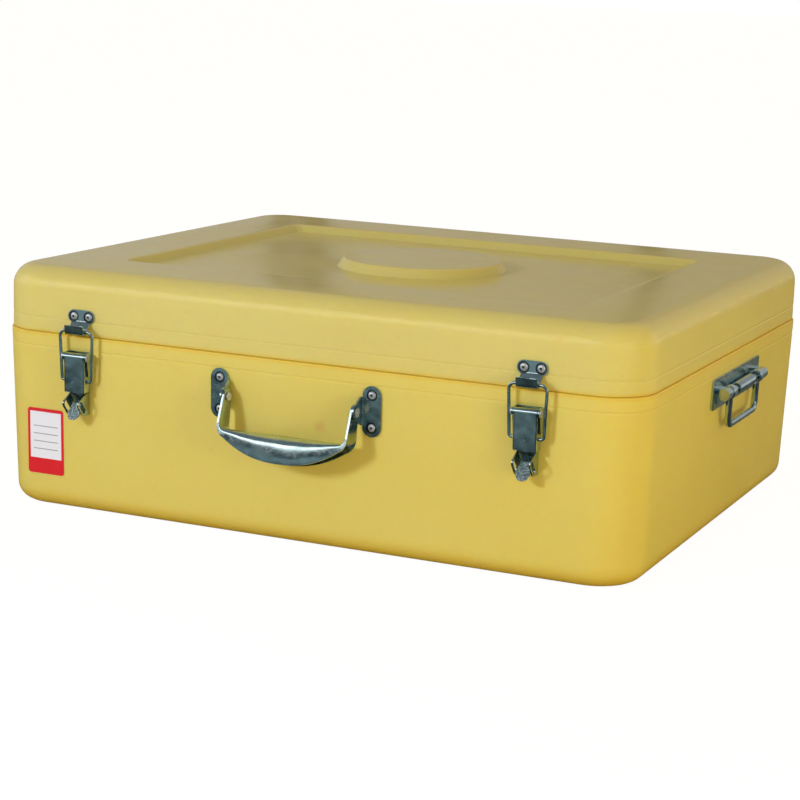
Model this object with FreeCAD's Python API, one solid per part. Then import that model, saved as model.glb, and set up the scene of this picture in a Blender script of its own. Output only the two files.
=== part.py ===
import FreeCAD, Part
import os
from math import atan2, cos, degrees, pi, radians, sin, sqrt, tan

# Moulded tool box with a hinged lid, two draw latches, a front carry handle and two sprung end handles.
# Millimetres. The origin is the middle of the underside, X runs along the front, the front faces -Y.

# Driving dimensions: shells
box_width = 700.0
box_depth = 600.0
seam_height = 184.0
lid_height = 66.0
corner_radius = 50.0
bottom_radius = 18.0
top_radius = 23.0
wall = 5.0
base_draft = 4.9
rim_width = 16.0
rim_height = 14.0
seam_gap = 0.8
lid_inset = 1.5
groove_depth = 0.8
groove_height = 1.4
panel_side_margin = 96.0
panel_front_margin = 102.0
panel_slope = 10.0
panel_depth = 8.0
panel_corner = 6.0
disc_radius = 92.0
disc_slope = 6.0
disc_height = 10.0
soft_edge = 2.0
seal_inset = 5.5
seal_width = 7.0
seal_depth = 4.0
seal_clear = 0.1

# Driving dimensions: rivets
rivet_radius = 1.95
rivet_head = 3.9
rivet_head_height = 1.5
rivet_tail = 3.9
rivet_tail_length = 3.5
mandrel_radius = 1.4
mandrel_depth = 1.8
rivet_brow = 0.8
dimple_radius = 5.4
dimple_depth = 0.5

# Driving dimensions: fits
running_clear = 0.08
side_clear = 0.35
part_clear = 0.3

# Driving dimensions: hinges
hinge_inset = 160.0
hinge_width = 60.0
hinge_leaf_height = 42.0
hinge_sheet = 2.0
hinge_corner = 4.0
hinge_pin_radius = 2.5
knuckle_clear = 1.0
hinge_rivet_spacing = 40.0
hinge_rivet_drop = 30.0
hinge_head_radius = 4.2
hinge_head_length = 1.5

# Driving dimensions: latches
latch_inset = 106.5
latch_drop = 19.0
latch_sheet = 1.4
lever_width = 24.0
lever_length = 36.0
lever_out = 15.0
lever_depth = 12.0
lever_bend = 2.5
lever_mark_radius = 4.0
lever_mark_depth = 0.4
lever_mark_drop = 22.0
roll_radius = 4.0
latch_pin_radius = 2.2
latch_pin_head = 3.4
latch_pin_head_length = 1.2
bail_wire = 3.4
bail_side_clear = 0.65
bail_drop = 25.0
bail_out = 8.5
bail_rise = 26.0
bail_spread = 1.7
bar_out = 9.0
bail_top_bend = 6.0
bail_foot_bend = 3.0
bail_foot_inside = 2.5
neck_width = 9.0
tongue_radius = 7.0
tongue_in = 8.0
tongue_out = 18.5
tongue_below_hole = 16.5
tongue_clear = 1.0
tongue_bend = 4.0
latch_plate_top = 4.0
pivot_ear_clear = 3.3
padlock_ear_clear = 2.0
padlock_ear_above_hole = 9.5
padlock_ear_below_hole = 13.0
padlock_ear_beyond_hole = 4.1
padlock_hole_radius = 2.9
padlock_hole_out = 16.5
padlock_slot_in = 6.0
padlock_slot_drop = 7.5
latch_rivet_drops = (9.0, 30.0)
catch_above_bar = 13.7
catch_rivet_half = 8.6
catch_lobe = 6.7
catch_sheet = 1.5
catch_width = 21.5
hook_clear = 1.0
hook_lip = 9.0
hook_flare = 1.2
catch_bend = 2.5

# Driving dimensions: carry handle
bracket_x = 82.6
handle_drop = 39.5
bracket_half_width = 9.8
bracket_half_height = 25.0
bracket_rivet_half = 16.0
bracket_sheet = 1.8
bracket_ear = 12.1
bracket_bend = 2.5
ear_half_height = 14.0
ear_end_radius = 9.0
handle_wall_clear = 1.0
pivot_radius = 2.5
pivot_head = 4.4
pivot_head_length = 1.8
pivot_tail_length = 0.6
pivot_head_round = 1.25
pivot_tail_round = 0.4
strap = 2.5
strap_width = 22.0
arm_width = 15.5
handle_reach = 31.4
handle_depth = 59.0
handle_bend = 8.0
handle_lean = 15.5
shoulder_radius = 9.0
grip_end_inset = 5.0
grip_end_depth = 6.5
grip_fullness = 2.3
grip_stations = 12

# Driving dimensions: end handles
side_along = 19.0
side_drop = 33.5
side_plate_width = 174.0
side_plate_height = 32.0
side_plate_corner = 4.0
side_sheet = 2.0
lug_inset = 12.0
lug_width = 16.0
lug_sheet = 2.5
side_pin_radius = 3.5
rod_radius = 3.5
eye_to_lug = 1.5
side_handle_depth = 35.5
rod_bend = 9.0
eye_wall = 3.5
eye_clear = 1.0
eye_width = 12.0
side_rivet_half = 28.0
side_rivet_drop = 10.0
spring_wire = 2.0
spring_turns = 22
spring_pitch = 2.6
spring_clear = 0.4
spring_end_bend = 3.0
spring_samples = 40

# Driving dimensions: label
label_inset = 62.7
label_height = 69.0
label_width = 43.0
label_clear = 0.5
label_corner = 3.0
label_sheet = 0.3

# Derived values
V = FreeCAD.Vector
X, Y, Z = V(1, 0, 0), V(0, 1, 0), V(0, 0, 1)
base_tilt = degrees(atan2(base_draft, seam_height))
lid_low = seam_height + seam_gap
lid_top = seam_height + lid_height
wall_through = wall * cos(radians(base_tilt))
past = 1.0
tiny = 1e-3


def placed(shape, frame):
    """A copy of a shape moved from wall coordinates into the box."""
    moved = shape.copy()
    moved.Placement = frame.multiply(moved.Placement)
    return moved


def base_frame(turn, along, height):
    """Wall coordinates on the base: x along the wall, -y straight out of it, z up the tapered wall."""
    half = box_depth / 2 if turn % 180 == 0 else box_width / 2
    out = half - base_draft * (seam_height - height) / seam_height
    heading = FreeCAD.Rotation(Z, turn)
    lean = FreeCAD.Rotation(X, base_tilt)
    return FreeCAD.Placement(heading.multVec(V(along, -out, height)), heading * lean)


def lid_frame(turn, along, height):
    """Wall coordinates on the lid, whose walls are upright."""
    heading = FreeCAD.Rotation(Z, turn)
    out = box_depth / 2 - lid_inset
    return FreeCAD.Placement(heading.multVec(V(along, -out, height)), heading)


def fuse(first, *others):
    """One clean solid from several that overlap."""
    return first.fuse(list(others)).removeSplitter().Solids[0]


def cylinder(radius, start, run):
    """A cylinder from a point along a vector."""
    return Part.makeCylinder(radius, run.Length, start, run)


def block(x0, x1, out0, out1, z0, z1):
    """A block in wall coordinates, between two distances out of the wall."""
    return Part.makeBox(x1 - x0, out1 - out0, z1 - z0, V(x0, -out1, z0))


def side_prism(outline, x0, x1):
    """A prism along x from an outline of (out, z) points."""
    corners = [V(x0, -out, z) for out, z in outline]
    return Part.Face(Part.makePolygon(corners + corners[:1])).extrude(V(x1 - x0, 0, 0))


def front_prism(outline, out0, out1):
    """A prism straight out of the wall from an outline of (x, z) points."""
    corners = [V(x, -out0, z) for x, z in outline]
    return Part.Face(Part.makePolygon(corners + corners[:1])).extrude(V(0, out0 - out1, 0))


def round_edges(shape, radius, chosen):
    """Fillet the edges that a test picks."""
    return shape.makeFillet(radius, [edge for edge in shape.Edges if chosen(edge)])


def upright(edge):
    """True for an edge that climbs."""
    return edge.BoundBox.ZLength > past


def level_at(height):
    """A test for the edges that lie at one height."""
    return lambda edge: edge.BoundBox.ZLength < tiny and abs(edge.BoundBox.ZMin - height) < tiny


def climbs_at(out):
    """A test for the edges that climb at one distance out of the wall."""
    return lambda edge: upright(edge) and abs(edge.BoundBox.YMin + out) < tiny


def through(thickness):
    """A test for the edges that run through a sheet on the wall."""
    return lambda edge: edge.BoundBox.YLength > thickness / 2


def ring_at(x):
    """A test for the round edge at one place along x."""
    return lambda edge: edge.BoundBox.XLength < tiny and abs(edge.BoundBox.XMin - x) < tiny


def tapered_block(half_x, half_y, low, high, draft, corner):
    """A block with rounded upright edges, narrower by the draft at its low end."""
    low_x, low_y = half_x - draft, half_y - draft
    wedge = Part.makeWedge(-low_x, low, -low_y, -half_y, -half_x, low_x, high, low_y, half_y, half_x)
    wedge.rotate(V(0, 0, 0), X, 90)
    return round_edges(wedge, corner, upright)


def rim_ring(inset, width, low, high):
    """A flat ring that follows the box's outline, a given way in from its largest size."""
    outer = tapered_block(box_width / 2 - inset, box_depth / 2 - inset, low, high, 0, corner_radius - inset)
    reach = inset + width
    inner = tapered_block(box_width / 2 - reach, box_depth / 2 - reach, low, high, 0, corner_radius - reach)
    return outer.cut(inner)


def rounded_runs(points, radii):
    """Straight runs between points, with an arc of the given radius at each point between the ends."""
    runs = []
    start = points[0]
    for before, here, after, radius in zip(points, points[1:], points[2:], radii):
        arrive = (here - before).normalize()
        leave = (after - here).normalize()
        turn = arrive.getAngle(leave)
        back = radius * tan(turn / 2)
        inward = (leave - arrive).normalize()
        middle = here + inward * (radius / cos(turn / 2) - radius)
        arc_start, arc_end = here - arrive * back, here + leave * back
        if (arc_start - start).Length > tiny:
            runs.append(Part.LineSegment(start, arc_start).toShape())
        runs.append(Part.Arc(arc_start, middle, arc_end).toShape())
        start = arc_end
    if (points[-1] - start).Length > tiny:
        runs.append(Part.LineSegment(start, points[-1]).toShape())
    return runs


def rod(points, radii, radius):
    """A round rod along runs with bends."""
    path = Part.Wire(rounded_runs(points, radii))
    section = Part.Wire(Part.makeCircle(radius, points[0], points[1] - points[0]))
    return path.makePipeShell([section], True, False)


def moved_sideways(points, across, distance):
    """The points of a flat run moved to one side, so that each straight stretch shifts by the distance."""
    ways = [(b - a).normalize() for a, b in zip(points, points[1:])]
    sides = [way.cross(across / across.Length) for way in ways]
    moved = [points[0] + sides[0] * distance]
    for here, left, right in zip(points[1:], sides, sides[1:]):
        bisector = left + right
        moved.append(here + bisector * (2 * distance / bisector.dot(bisector)))
    moved.append(points[-1] + sides[-1] * distance)
    return moved, sides


def bent_strip(points, bend, thickness, across):
    """Sheet bent along a flat run: `bend` is the middle radius, `across` the strip's width as a vector."""
    half = thickness / 2
    outlines = []
    for distance in (half, -half):
        line, sides = moved_sideways(points, across, distance)
        radii = []
        for left, way in zip(sides, [b - a for a, b in zip(points[1:], points[2:])]):
            toward = 1 if left.dot(way) > 0 else -1
            radii.append(bend - toward * distance)
        outlines.append((line, rounded_runs(line, radii)))
    (near, near_runs), (far, far_runs) = outlines
    ends = [Part.LineSegment(near[0], far[0]).toShape(), Part.LineSegment(near[-1], far[-1]).toShape()]
    outline = Part.Wire(Part.__sortEdges__(near_runs + far_runs + ends))
    sheet = Part.Face(outline).extrude(across)
    sheet.translate(across / -2)
    return sheet


def rivet(x, z, seat, back):
    """A hollow blind rivet in wall coordinates: head on the seat, tail clamped behind the wall."""
    crown = seat + rivet_head_height
    brow = V((rivet_head + mandrel_radius) / 2, -(seat + rivet_head_height * rivet_brow), 0)
    rim, lip = V(rivet_head, -seat, 0), V(mandrel_radius, -crown, 0)
    tail_end = back - rivet_tail_length
    outline = [
        lip,
        V(mandrel_radius, mandrel_depth - crown, 0),
        V(0, mandrel_depth - crown, 0),
        V(0, -tail_end, 0),
        V(rivet_tail, -tail_end, 0),
        V(rivet_tail, -back, 0),
        V(rivet_radius, -back, 0),
        V(rivet_radius, -seat, 0),
        rim,
    ]
    edges = [Part.LineSegment(a, b).toShape() for a, b in zip(outline, outline[1:])]
    edges.append(Part.Arc(rim, brow, lip).toShape())
    body = Part.Face(Part.Wire(edges)).revolve(V(0, 0, 0), Y, 360)
    body.translate(V(x, 0, z))
    return body


def rivet_hole(x, z, out0, out1):
    """The hole that a rivet fills."""
    return cylinder(rivet_radius, V(x, -out0, z), V(0, out0 - out1, 0))


def drilled(sheet_part, spots, thickness, dimpled=True):
    """A sheet part with a rivet hole at each spot, and a shallow dimple round it."""
    for x, z in spots:
        sheet_part = sheet_part.cut(rivet_hole(x, z, -past, thickness + past))
        if dimpled:
            floor = V(x, dimple_depth - thickness, z)
            dimple = cylinder(dimple_radius, floor, V(0, -dimple_depth - past, 0))
            sheet_part = sheet_part.cut(dimple)
    return sheet_part


nodes = {}
base_holes = []
lid_holes = []


def add_rivets(name, frame, spots, seat, back, holes):
    """Put rivets at spots on a wall into one node, and note the holes they need."""
    for x, z in spots:
        nodes.setdefault(name, []).append(placed(rivet(x, z, seat, back), frame))
        holes.append(placed(rivet_hole(x, z, back - past, past), frame))


# Base shell: tapered tub, thickened rim, a fine groove under the rim
def make_base_shell():
    outer = tapered_block(box_width / 2, box_depth / 2, 0, seam_height, base_draft, corner_radius)
    outer = round_edges(outer, bottom_radius, level_at(0))
    inner_draft = base_draft * (seam_height - wall) / seam_height
    hollow = tapered_block(
        box_width / 2 - wall, box_depth / 2 - wall, wall, seam_height, inner_draft, corner_radius - wall)
    hollow = round_edges(hollow, bottom_radius - wall, level_at(wall))
    rim_low = seam_height - rim_height
    above = Part.makeBox(box_width, box_depth, rim_height + past, V(-box_width / 2, -box_depth / 2, rim_low))
    mouth = tapered_block(
        box_width / 2 - rim_width, box_depth / 2 - rim_width, rim_low - past, seam_height + past, 0,
        corner_radius - rim_width)
    shell = outer.cut(hollow.cut(above)).cut(mouth)
    return shell.cut(groove(rim_low, base_draft, 0, seam_height, 0))


def groove(height, draft, low, high, inset):
    """The material of a fine groove that runs round a shell at one height."""
    slab = Part.makeBox(
        box_width * 2, box_depth * 2, groove_height, V(-box_width, -box_depth, height - groove_height / 2))
    inside = inset + groove_depth
    core = tapered_block(
        box_width / 2 - inside, box_depth / 2 - inside, low, high, draft, corner_radius - inside)
    return slab.cut(core)


# Lid shell: rounded top with a sunk panel and a raised disc, hollow below, seal groove in the rim
def make_lid_shell():
    half_x, half_y = box_width / 2 - lid_inset, box_depth / 2 - lid_inset
    outer = tapered_block(half_x, half_y, lid_low, lid_top, 0, corner_radius - lid_inset)
    outer = round_edges(outer, top_radius, level_at(lid_top))
    floor = lid_top - panel_depth
    panel_x, panel_y = box_width / 2 - panel_side_margin, box_depth / 2 - panel_front_margin
    panel = tapered_block(panel_x, panel_y, floor, lid_top, panel_slope, panel_corner)
    panel = round_edges(panel, soft_edge, level_at(floor))
    disc = Part.makeCone(disc_radius, disc_radius - disc_slope, disc_height, V(0, 0, floor))
    disc = round_edges(disc, soft_edge, level_at(floor + disc_height))
    rim_high = lid_low + rim_height
    ceiling = lid_top - wall
    cavity = tapered_block(
        half_x - wall, half_y - wall, rim_high, ceiling, 0, corner_radius - lid_inset - wall)
    cavity = round_edges(cavity, top_radius - wall, level_at(ceiling))
    steep = panel_slope / panel_depth
    boss = tapered_block(
        panel_x + wall, panel_y + wall, floor - wall, lid_top,
        steep * (panel_depth + wall), panel_corner)
    pocket_radius = disc_radius - wall
    pocket = Part.makeCone(pocket_radius, pocket_radius - disc_slope, disc_height, V(0, 0, floor - wall))
    mouth = tapered_block(
        box_width / 2 - rim_width, box_depth / 2 - rim_width, lid_low - past, rim_high + past, 0,
        corner_radius - rim_width)
    shell = outer.cut(panel).fuse(disc).cut(cavity.cut(boss)).cut(pocket).cut(mouth)
    shell = shell.cut(rim_ring(seal_inset, seal_width, lid_low, lid_low + seal_depth))
    return shell.cut(groove(rim_high, 0, lid_low, lid_top, lid_inset))


# Hinges at the back
hinge_x = box_width / 2 - hinge_inset
knuckle_radius = hinge_pin_radius + hinge_sheet
hinge_out = knuckle_radius + knuckle_clear
hinge_axis = V(0, box_depth / 2 + hinge_out, seam_height + seam_gap / 2)


def make_hinge(side, name):
    third = hinge_width / 3
    axis = hinge_axis + X * (side * hinge_x)
    hollow = cylinder(hinge_pin_radius + running_clear, axis - X * hinge_width, X * (2 * hinge_width))
    half = hinge_width / 2
    spots = [(x, -hinge_rivet_drop) for x in (-hinge_rivet_spacing / 2, hinge_rivet_spacing / 2)]
    leaf_free = knuckle_radius + side_clear + hinge_sheet
    on_base = base_frame(180, -side * hinge_x, seam_height)
    on_lid = lid_frame(180, -side * hinge_x, lid_low)
    for part, up, frame in (("base", -1, on_base), ("lid", 1, on_lid)):
        near, far = sorted((up * leaf_free, up * hinge_leaf_height))
        sheet = block(-half, half, 0, hinge_sheet, near, far)
        free_end = [edge for edge in sheet.Edges if through(hinge_sheet)(edge)
                    and abs(edge.BoundBox.ZMin - up * hinge_leaf_height) < tiny]
        sheet = sheet.makeFillet(hinge_corner, free_end)
        rivets = [(x, -up * z) for x, z in spots]
        sheet = placed(drilled(sheet, rivets, hinge_sheet), frame)
        starts = (-half, half - third) if up < 0 else (third - half + side_clear,)
        length = third if up < 0 else third - 2 * side_clear
        pieces = [sheet]
        for start in starts:
            ring = cylinder(knuckle_radius, axis + X * start, X * length)
            root = axis.y - hinge_out - (lid_inset if up > 0 else 0)
            low, high = sorted((up * (knuckle_radius - hinge_sheet), up * knuckle_radius))
            web = Part.makeBox(length, axis.y - root, high - low, V(axis.x + start, root, axis.z + low))
            post_low, post_high = sorted((up * (knuckle_radius - hinge_sheet), up * (leaf_free + past)))
            post = placed(block(-start - length, -start, 0, hinge_sheet, post_low, post_high), frame)
            pieces += [ring, web, post]
        leaf = fuse(*pieces).cut(hollow)
        nodes[f"hinge_{part}_leaf_{name}"] = [leaf]
        back = -wall_through if up < 0 else -wall
        holes = base_holes if up < 0 else lid_holes
        add_rivets(f"hinge_{part}_rivets", frame, rivets, hinge_sheet - dimple_depth, back, holes)
    pin = cylinder(hinge_pin_radius, axis - X * half, X * hinge_width)
    heads = [cylinder(hinge_head_radius, axis + X * (end * half), X * (end * hinge_head_length))
             for end in (-1, 1)]
    nodes[f"hinge_pin_{name}"] = [fuse(pin, *heads)]


# Draw latches
latch_x = box_width / 2 - latch_inset
roll_out = lever_out - roll_radius
lever_half = lever_width / 2
lever_back = lever_out - lever_depth
ear_inner = lever_half + side_clear
ear_outer = ear_inner + latch_sheet
bail_half = ear_outer + latch_pin_head_length + bail_side_clear + bail_wire / 2
bail_foot = bail_half - lever_half + latch_sheet + bail_foot_inside
pivot_ear_drop = bail_drop - bail_wire / 2 - pivot_ear_clear
padlock_gap = 2 * (tongue_radius + tongue_clear)
padlock_ear_top = lever_length + padlock_ear_clear
padlock_hole_drop = padlock_ear_top + padlock_ear_above_hole
padlock_ear_bottom = padlock_hole_drop + padlock_ear_below_hole
padlock_ear_out = padlock_hole_out + padlock_hole_radius + padlock_ear_beyond_hole
tongue_drop = padlock_hole_drop + tongue_below_hole


def make_lever():
    outer = block(-lever_half, lever_half, lever_back, lever_out, -lever_length, 0)
    outer = round_edges(outer, lever_bend, climbs_at(lever_out))
    inside = lever_half - latch_sheet
    hollow = block(-inside, inside, lever_back - past, lever_out - latch_sheet, -lever_length - past, past)
    hollow = round_edges(hollow, lever_bend - latch_sheet, climbs_at(lever_out - latch_sheet))
    flank = [
        (lever_out + past, -lever_length),
        (lever_out + past, 0),
        (lever_out - latch_sheet, 0),
        (lever_back, -bail_drop + roll_radius),
        (lever_back, -lever_length),
    ]
    channel = outer.cut(hollow).common(side_prism(flank, -lever_half, lever_half))
    mark = cylinder(
        lever_mark_radius, V(0, -lever_out - past, -lever_mark_drop), V(0, past + lever_mark_depth, 0))
    roll = cylinder(roll_radius, V(-lever_half, -roll_out, 0), X * lever_width)
    middle = lever_out - latch_sheet / 2
    run = [
        V(0, -middle, 2 * latch_sheet - lever_length),
        V(0, -middle, -lever_length - latch_sheet),
        V(0, -tongue_in, -padlock_hole_drop),
        V(0, -tongue_out, -tongue_drop),
    ]
    strip = bent_strip(run, tongue_bend, latch_sheet, X * (2 * tongue_radius))
    thumb_drop = tongue_drop - tongue_radius
    shape = fuse(
        block(-neck_width / 2, neck_width / 2, 0, 2 * tongue_out, -thumb_drop, 0),
        front_prism([(-neck_width / 2, -padlock_hole_drop), (neck_width / 2, -padlock_hole_drop),
                     (tongue_radius, -thumb_drop), (-tongue_radius, -thumb_drop)], 0, 2 * tongue_out),
        cylinder(tongue_radius, V(0, 0, -thumb_drop), V(0, -2 * tongue_out, 0)))
    lever = fuse(channel.cut(mark), roll, strip.common(shape))
    across = X * (lever_width + 2 * past)
    start = -lever_half - past
    bore = cylinder(latch_pin_radius + running_clear, V(start, -roll_out, 0), across)
    eyes = cylinder(bail_wire / 2 + running_clear, V(start, -bail_out, -bail_drop), across)
    return lever.cut(bore).cut(eyes)


def make_bail():
    foot, bar = V(0, -bail_out, -bail_drop), V(0, -bar_out, bail_rise)
    inner, top = bail_half - bail_foot, bail_half + bail_spread
    points = [
        foot - X * inner, foot - X * bail_half, bar - X * top,
        bar + X * top, foot + X * bail_half, foot + X * inner,
    ]
    return rod(points, [bail_foot_bend, bail_top_bend, bail_top_bend, bail_foot_bend], bail_wire / 2)


def make_latch_base():
    low_half = padlock_gap / 2 + latch_sheet
    plate = fuse(
        block(-ear_outer, ear_outer, 0, catch_sheet, -pivot_ear_drop, latch_plate_top),
        block(-low_half, low_half, 0, catch_sheet, -padlock_ear_bottom, latch_plate_top))
    pieces = [plate]
    pivot_ear = [
        (0, latch_plate_top), (roll_out, roll_radius), (roll_out, -roll_radius),
        (bail_out, -pivot_ear_drop), (0, -pivot_ear_drop),
    ]
    padlock_ear = [
        (0, -padlock_ear_top), (roll_out - roll_radius, -padlock_ear_top),
        (padlock_ear_out, -padlock_hole_drop + latch_sheet),
        (lever_depth, -padlock_ear_bottom), (0, -padlock_ear_bottom),
    ]

    def outer_corner(edge):
        box = edge.BoundBox
        return box.XLength > latch_sheet / 2 and box.YMax < -catch_sheet and box.YLength < tiny

    slot_top = V(0, -padlock_hole_out, -padlock_hole_drop)
    slot_low = slot_top + V(0, padlock_slot_in, -padlock_slot_drop)
    for side in (-1, 1):
        start, end = sorted((side * ear_inner, side * ear_outer))
        pieces.append(side_prism(pivot_ear, start, end))
        pieces.append(cylinder(roll_radius, V(start, -roll_out, 0), X * latch_sheet))
        start, end = sorted((side * padlock_gap / 2, side * low_half))
        ear = round_edges(side_prism(padlock_ear, start, end), roll_radius, outer_corner)
        along = slot_low - slot_top
        across = along.cross(X).normalize() * padlock_hole_radius
        corners = [slot_top + across, slot_low + across, slot_low - across, slot_top - across]
        corners = [corner + X * (start - past) for corner in corners]
        through_ear = X * (latch_sheet + 2 * past)
        web = Part.Face(Part.makePolygon(corners + corners[:1])).extrude(through_ear)
        ends = [cylinder(padlock_hole_radius, spot + X * (start - past), through_ear)
                for spot in (slot_top, slot_low)]
        for cutter in [web] + ends:
            ear = ear.cut(cutter)
        pieces.append(ear)
    base = fuse(*pieces)
    across = X * (2 * ear_outer + 2 * past)
    base = base.cut(cylinder(latch_pin_radius, V(-ear_outer - past, -roll_out, 0), across))
    return drilled(base, [(0, -drop) for drop in latch_rivet_drops], catch_sheet, False)


def make_latch_pin():
    pin = cylinder(latch_pin_radius, V(-ear_outer, -roll_out, 0), X * (2 * ear_outer))
    heads = [cylinder(latch_pin_head, V(end * ear_outer, -roll_out, 0), X * (end * latch_pin_head_length))
             for end in (-1, 1)]
    return fuse(pin, *heads)


def make_catch(bar):
    """The catch in lid wall coordinates, its hook laid round the bail's bar."""
    half = catch_sheet / 2
    trough = bail_wire / 2 + hook_clear + half
    out, seat = -bar.y, bar.z - bail_wire / 2 - part_clear - half
    shoulder = -catch_lobe + catch_sheet
    top = V(0, -half, 0)
    run = [
        top,
        V(0, -half, shoulder),
        V(0, -(out - trough), bar.z + bail_wire / 2),
        V(0, -(out - trough), seat),
        V(0, -(out + trough), seat),
        V(0, -(out + trough + hook_flare), seat + hook_lip),
    ]
    hook = bent_strip(run, catch_bend, catch_sheet, X * catch_width)
    lobes = [cylinder(catch_lobe, V(end * catch_rivet_half, 0, 0), V(0, -catch_sheet, 0)) for end in (-1, 1)]
    bridge = block(-catch_rivet_half, catch_rivet_half, 0, catch_sheet, -catch_lobe + half, catch_lobe)
    spots = [(-catch_rivet_half, 0), (catch_rivet_half, 0)]
    return drilled(fuse(hook, bridge, *lobes), spots, catch_sheet), spots


def make_latch(side, name):
    height = seam_height - latch_drop
    frame = base_frame(0, side * latch_x, height)
    nodes[f"latch_base_{name}"] = [placed(make_latch_base(), frame)]
    nodes[f"latch_pivot_pin_{name}"] = [placed(make_latch_pin(), frame)]
    nodes[f"latch_lever_{name}"] = [placed(make_lever(), frame)]
    nodes[f"latch_bail_{name}"] = [placed(make_bail(), frame)]
    spots = [(0, -drop) for drop in latch_rivet_drops]
    add_rivets("latch_base_rivets", frame, spots, catch_sheet, -wall_through, base_holes)
    bar = frame.multVec(V(0, -bar_out, bail_rise))
    on_lid = lid_frame(0, side * latch_x, bar.z + catch_above_bar)
    bar = on_lid.inverse().multVec(bar)
    catch, catch_spots = make_catch(bar)
    nodes[f"latch_catch_{name}"] = [placed(catch, on_lid)]
    add_rivets("catch_rivets", on_lid, catch_spots, catch_sheet - dimple_depth, -wall, lid_holes)
    print("axis latch_lever", name, frame.multVec(V(0, -roll_out, 0)))
    print("axis latch_bail", name, frame.multVec(V(0, -bail_out, -bail_drop)))
    print("padlock hole", name, frame.multVec(V(0, -padlock_hole_out, -padlock_hole_drop)))


# Carry handle on the front
ear_face = bracket_x - bracket_ear
arm_outer = ear_face - part_clear
grip_end = arm_outer - grip_end_inset
pivot_out = strap_width / 2 + handle_wall_clear
handle_frame = base_frame(0, 0, seam_height - handle_drop)


def make_bracket():
    """The left bracket, whose ear stands at its inner edge, towards +x."""
    straight = bracket_half_height - bracket_half_width
    plate = fuse(
        block(-bracket_half_width, bracket_half_width, 0, bracket_sheet, -straight, straight),
        *[cylinder(bracket_half_width, V(0, 0, end * straight), V(0, -bracket_sheet, 0)) for end in (-1, 1)])
    middle = bracket_sheet / 2
    ear_x = bracket_ear - middle
    run = [V(0, -middle, 0), V(ear_x, -middle, 0), V(ear_x, -(pivot_out + ear_end_radius), 0)]
    angle = bent_strip(run, bracket_bend, bracket_sheet, Z * (2 * ear_half_height))
    root = bracket_sheet + bracket_bend
    outline = [
        (-past, ear_half_height), (root, ear_half_height), (pivot_out, ear_end_radius),
        (pivot_out, -ear_end_radius), (root, -ear_half_height), (-past, -ear_half_height),
    ]
    trim = fuse(side_prism(outline, -past, bracket_ear + past),
                cylinder(ear_end_radius, V(-past, -pivot_out, 0), X * (bracket_ear + 2 * past)))
    bracket = fuse(plate, angle.common(trim))
    bracket = bracket.cut(cylinder(pivot_radius, V(0, -pivot_out, 0), X * (2 * bracket_ear)))
    return drilled(bracket, [(0, -bracket_rivet_half), (0, bracket_rivet_half)], bracket_sheet)


def grip_section(share):
    """The channel's outline at a share of the half length: shallow at the ends, deep and round midway."""
    swell = 1 - abs(share) ** grip_fullness
    half = strap_width / 2
    end_radius = strap + part_clear
    radius = end_radius + (shoulder_radius - end_radius) * swell
    depth = grip_end_depth + (handle_depth - handle_reach - grip_end_depth) * swell
    place = share * grip_end

    def point(y, z):
        return V(place, y, -handle_reach - z)

    edges = []
    for inset in (0, strap):
        w, r = half - inset, radius - inset
        c = r * (1 - sqrt(0.5))
        left, right = point(-w, depth), point(w, depth)
        marks = [point(-w, inset + r), point(-w + c, inset + c), point(-w + r, inset),
                 point(w - r, inset), point(w - c, inset + c), point(w, inset + r)]
        edges += [
            Part.LineSegment(left, marks[0]).toShape(),
            Part.Arc(*marks[:3]).toShape(),
            Part.LineSegment(marks[2], marks[3]).toShape(),
            Part.Arc(*marks[3:]).toShape(),
            Part.LineSegment(marks[5], right).toShape(),
        ]
    for w in (-half, half):
        inner = w - strap if w > 0 else w + strap
        edges.append(Part.LineSegment(point(w, depth), point(inner, depth)).toShape())
    return Part.Wire(Part.__sortEdges__(edges))


def make_carry_handle():
    """The handle about its pivot axis, hanging straight down."""
    middle = arm_outer - strap / 2
    level = -(handle_reach + strap / 2)
    bend_top = handle_bend - handle_reach
    half, arm_half = strap_width / 2, arm_width / 2
    taper = [
        (-half, level - strap), (-half, bend_top), (-arm_half, 0),
        (arm_half, 0), (half, bend_top), (half, level - strap),
    ]
    arm_shape = fuse(
        side_prism(taper, -bracket_x, bracket_x),
        cylinder(arm_half, V(-bracket_x, 0, 0), X * (2 * bracket_x)))
    low = -handle_reach - grip_end_depth
    pieces = []
    for side in (-1, 1):
        run = [V(side * middle, 0, 0), V(side * middle, 0, level), V(side * (grip_end - 2 * strap), 0, level)]
        arm = bent_strip(run, handle_bend - strap / 2, strap, Y * strap_width)
        end = cylinder(arm_half, V(side * (arm_outer - strap), 0, 0), X * (side * strap))
        pieces += [arm.common(arm_shape), end]
        corner = [
            (side * (grip_end - strap), low), (side * grip_end, low), (side * arm_outer, bend_top - strap),
            (side * arm_outer, bend_top), (side * (grip_end - strap), level),
        ]
        for out in (-half, half - strap):
            pieces.append(front_prism(corner, out, out + strap))
    shares = [2 * i / grip_stations - 1 for i in range(grip_stations + 1)]
    grip = Part.makeLoft([grip_section(share) for share in shares], True, True)
    handle = fuse(grip, *pieces)
    bore = cylinder(pivot_radius + running_clear, V(-bracket_x, 0, 0), X * (2 * bracket_x))
    return handle.cut(bore)


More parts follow.
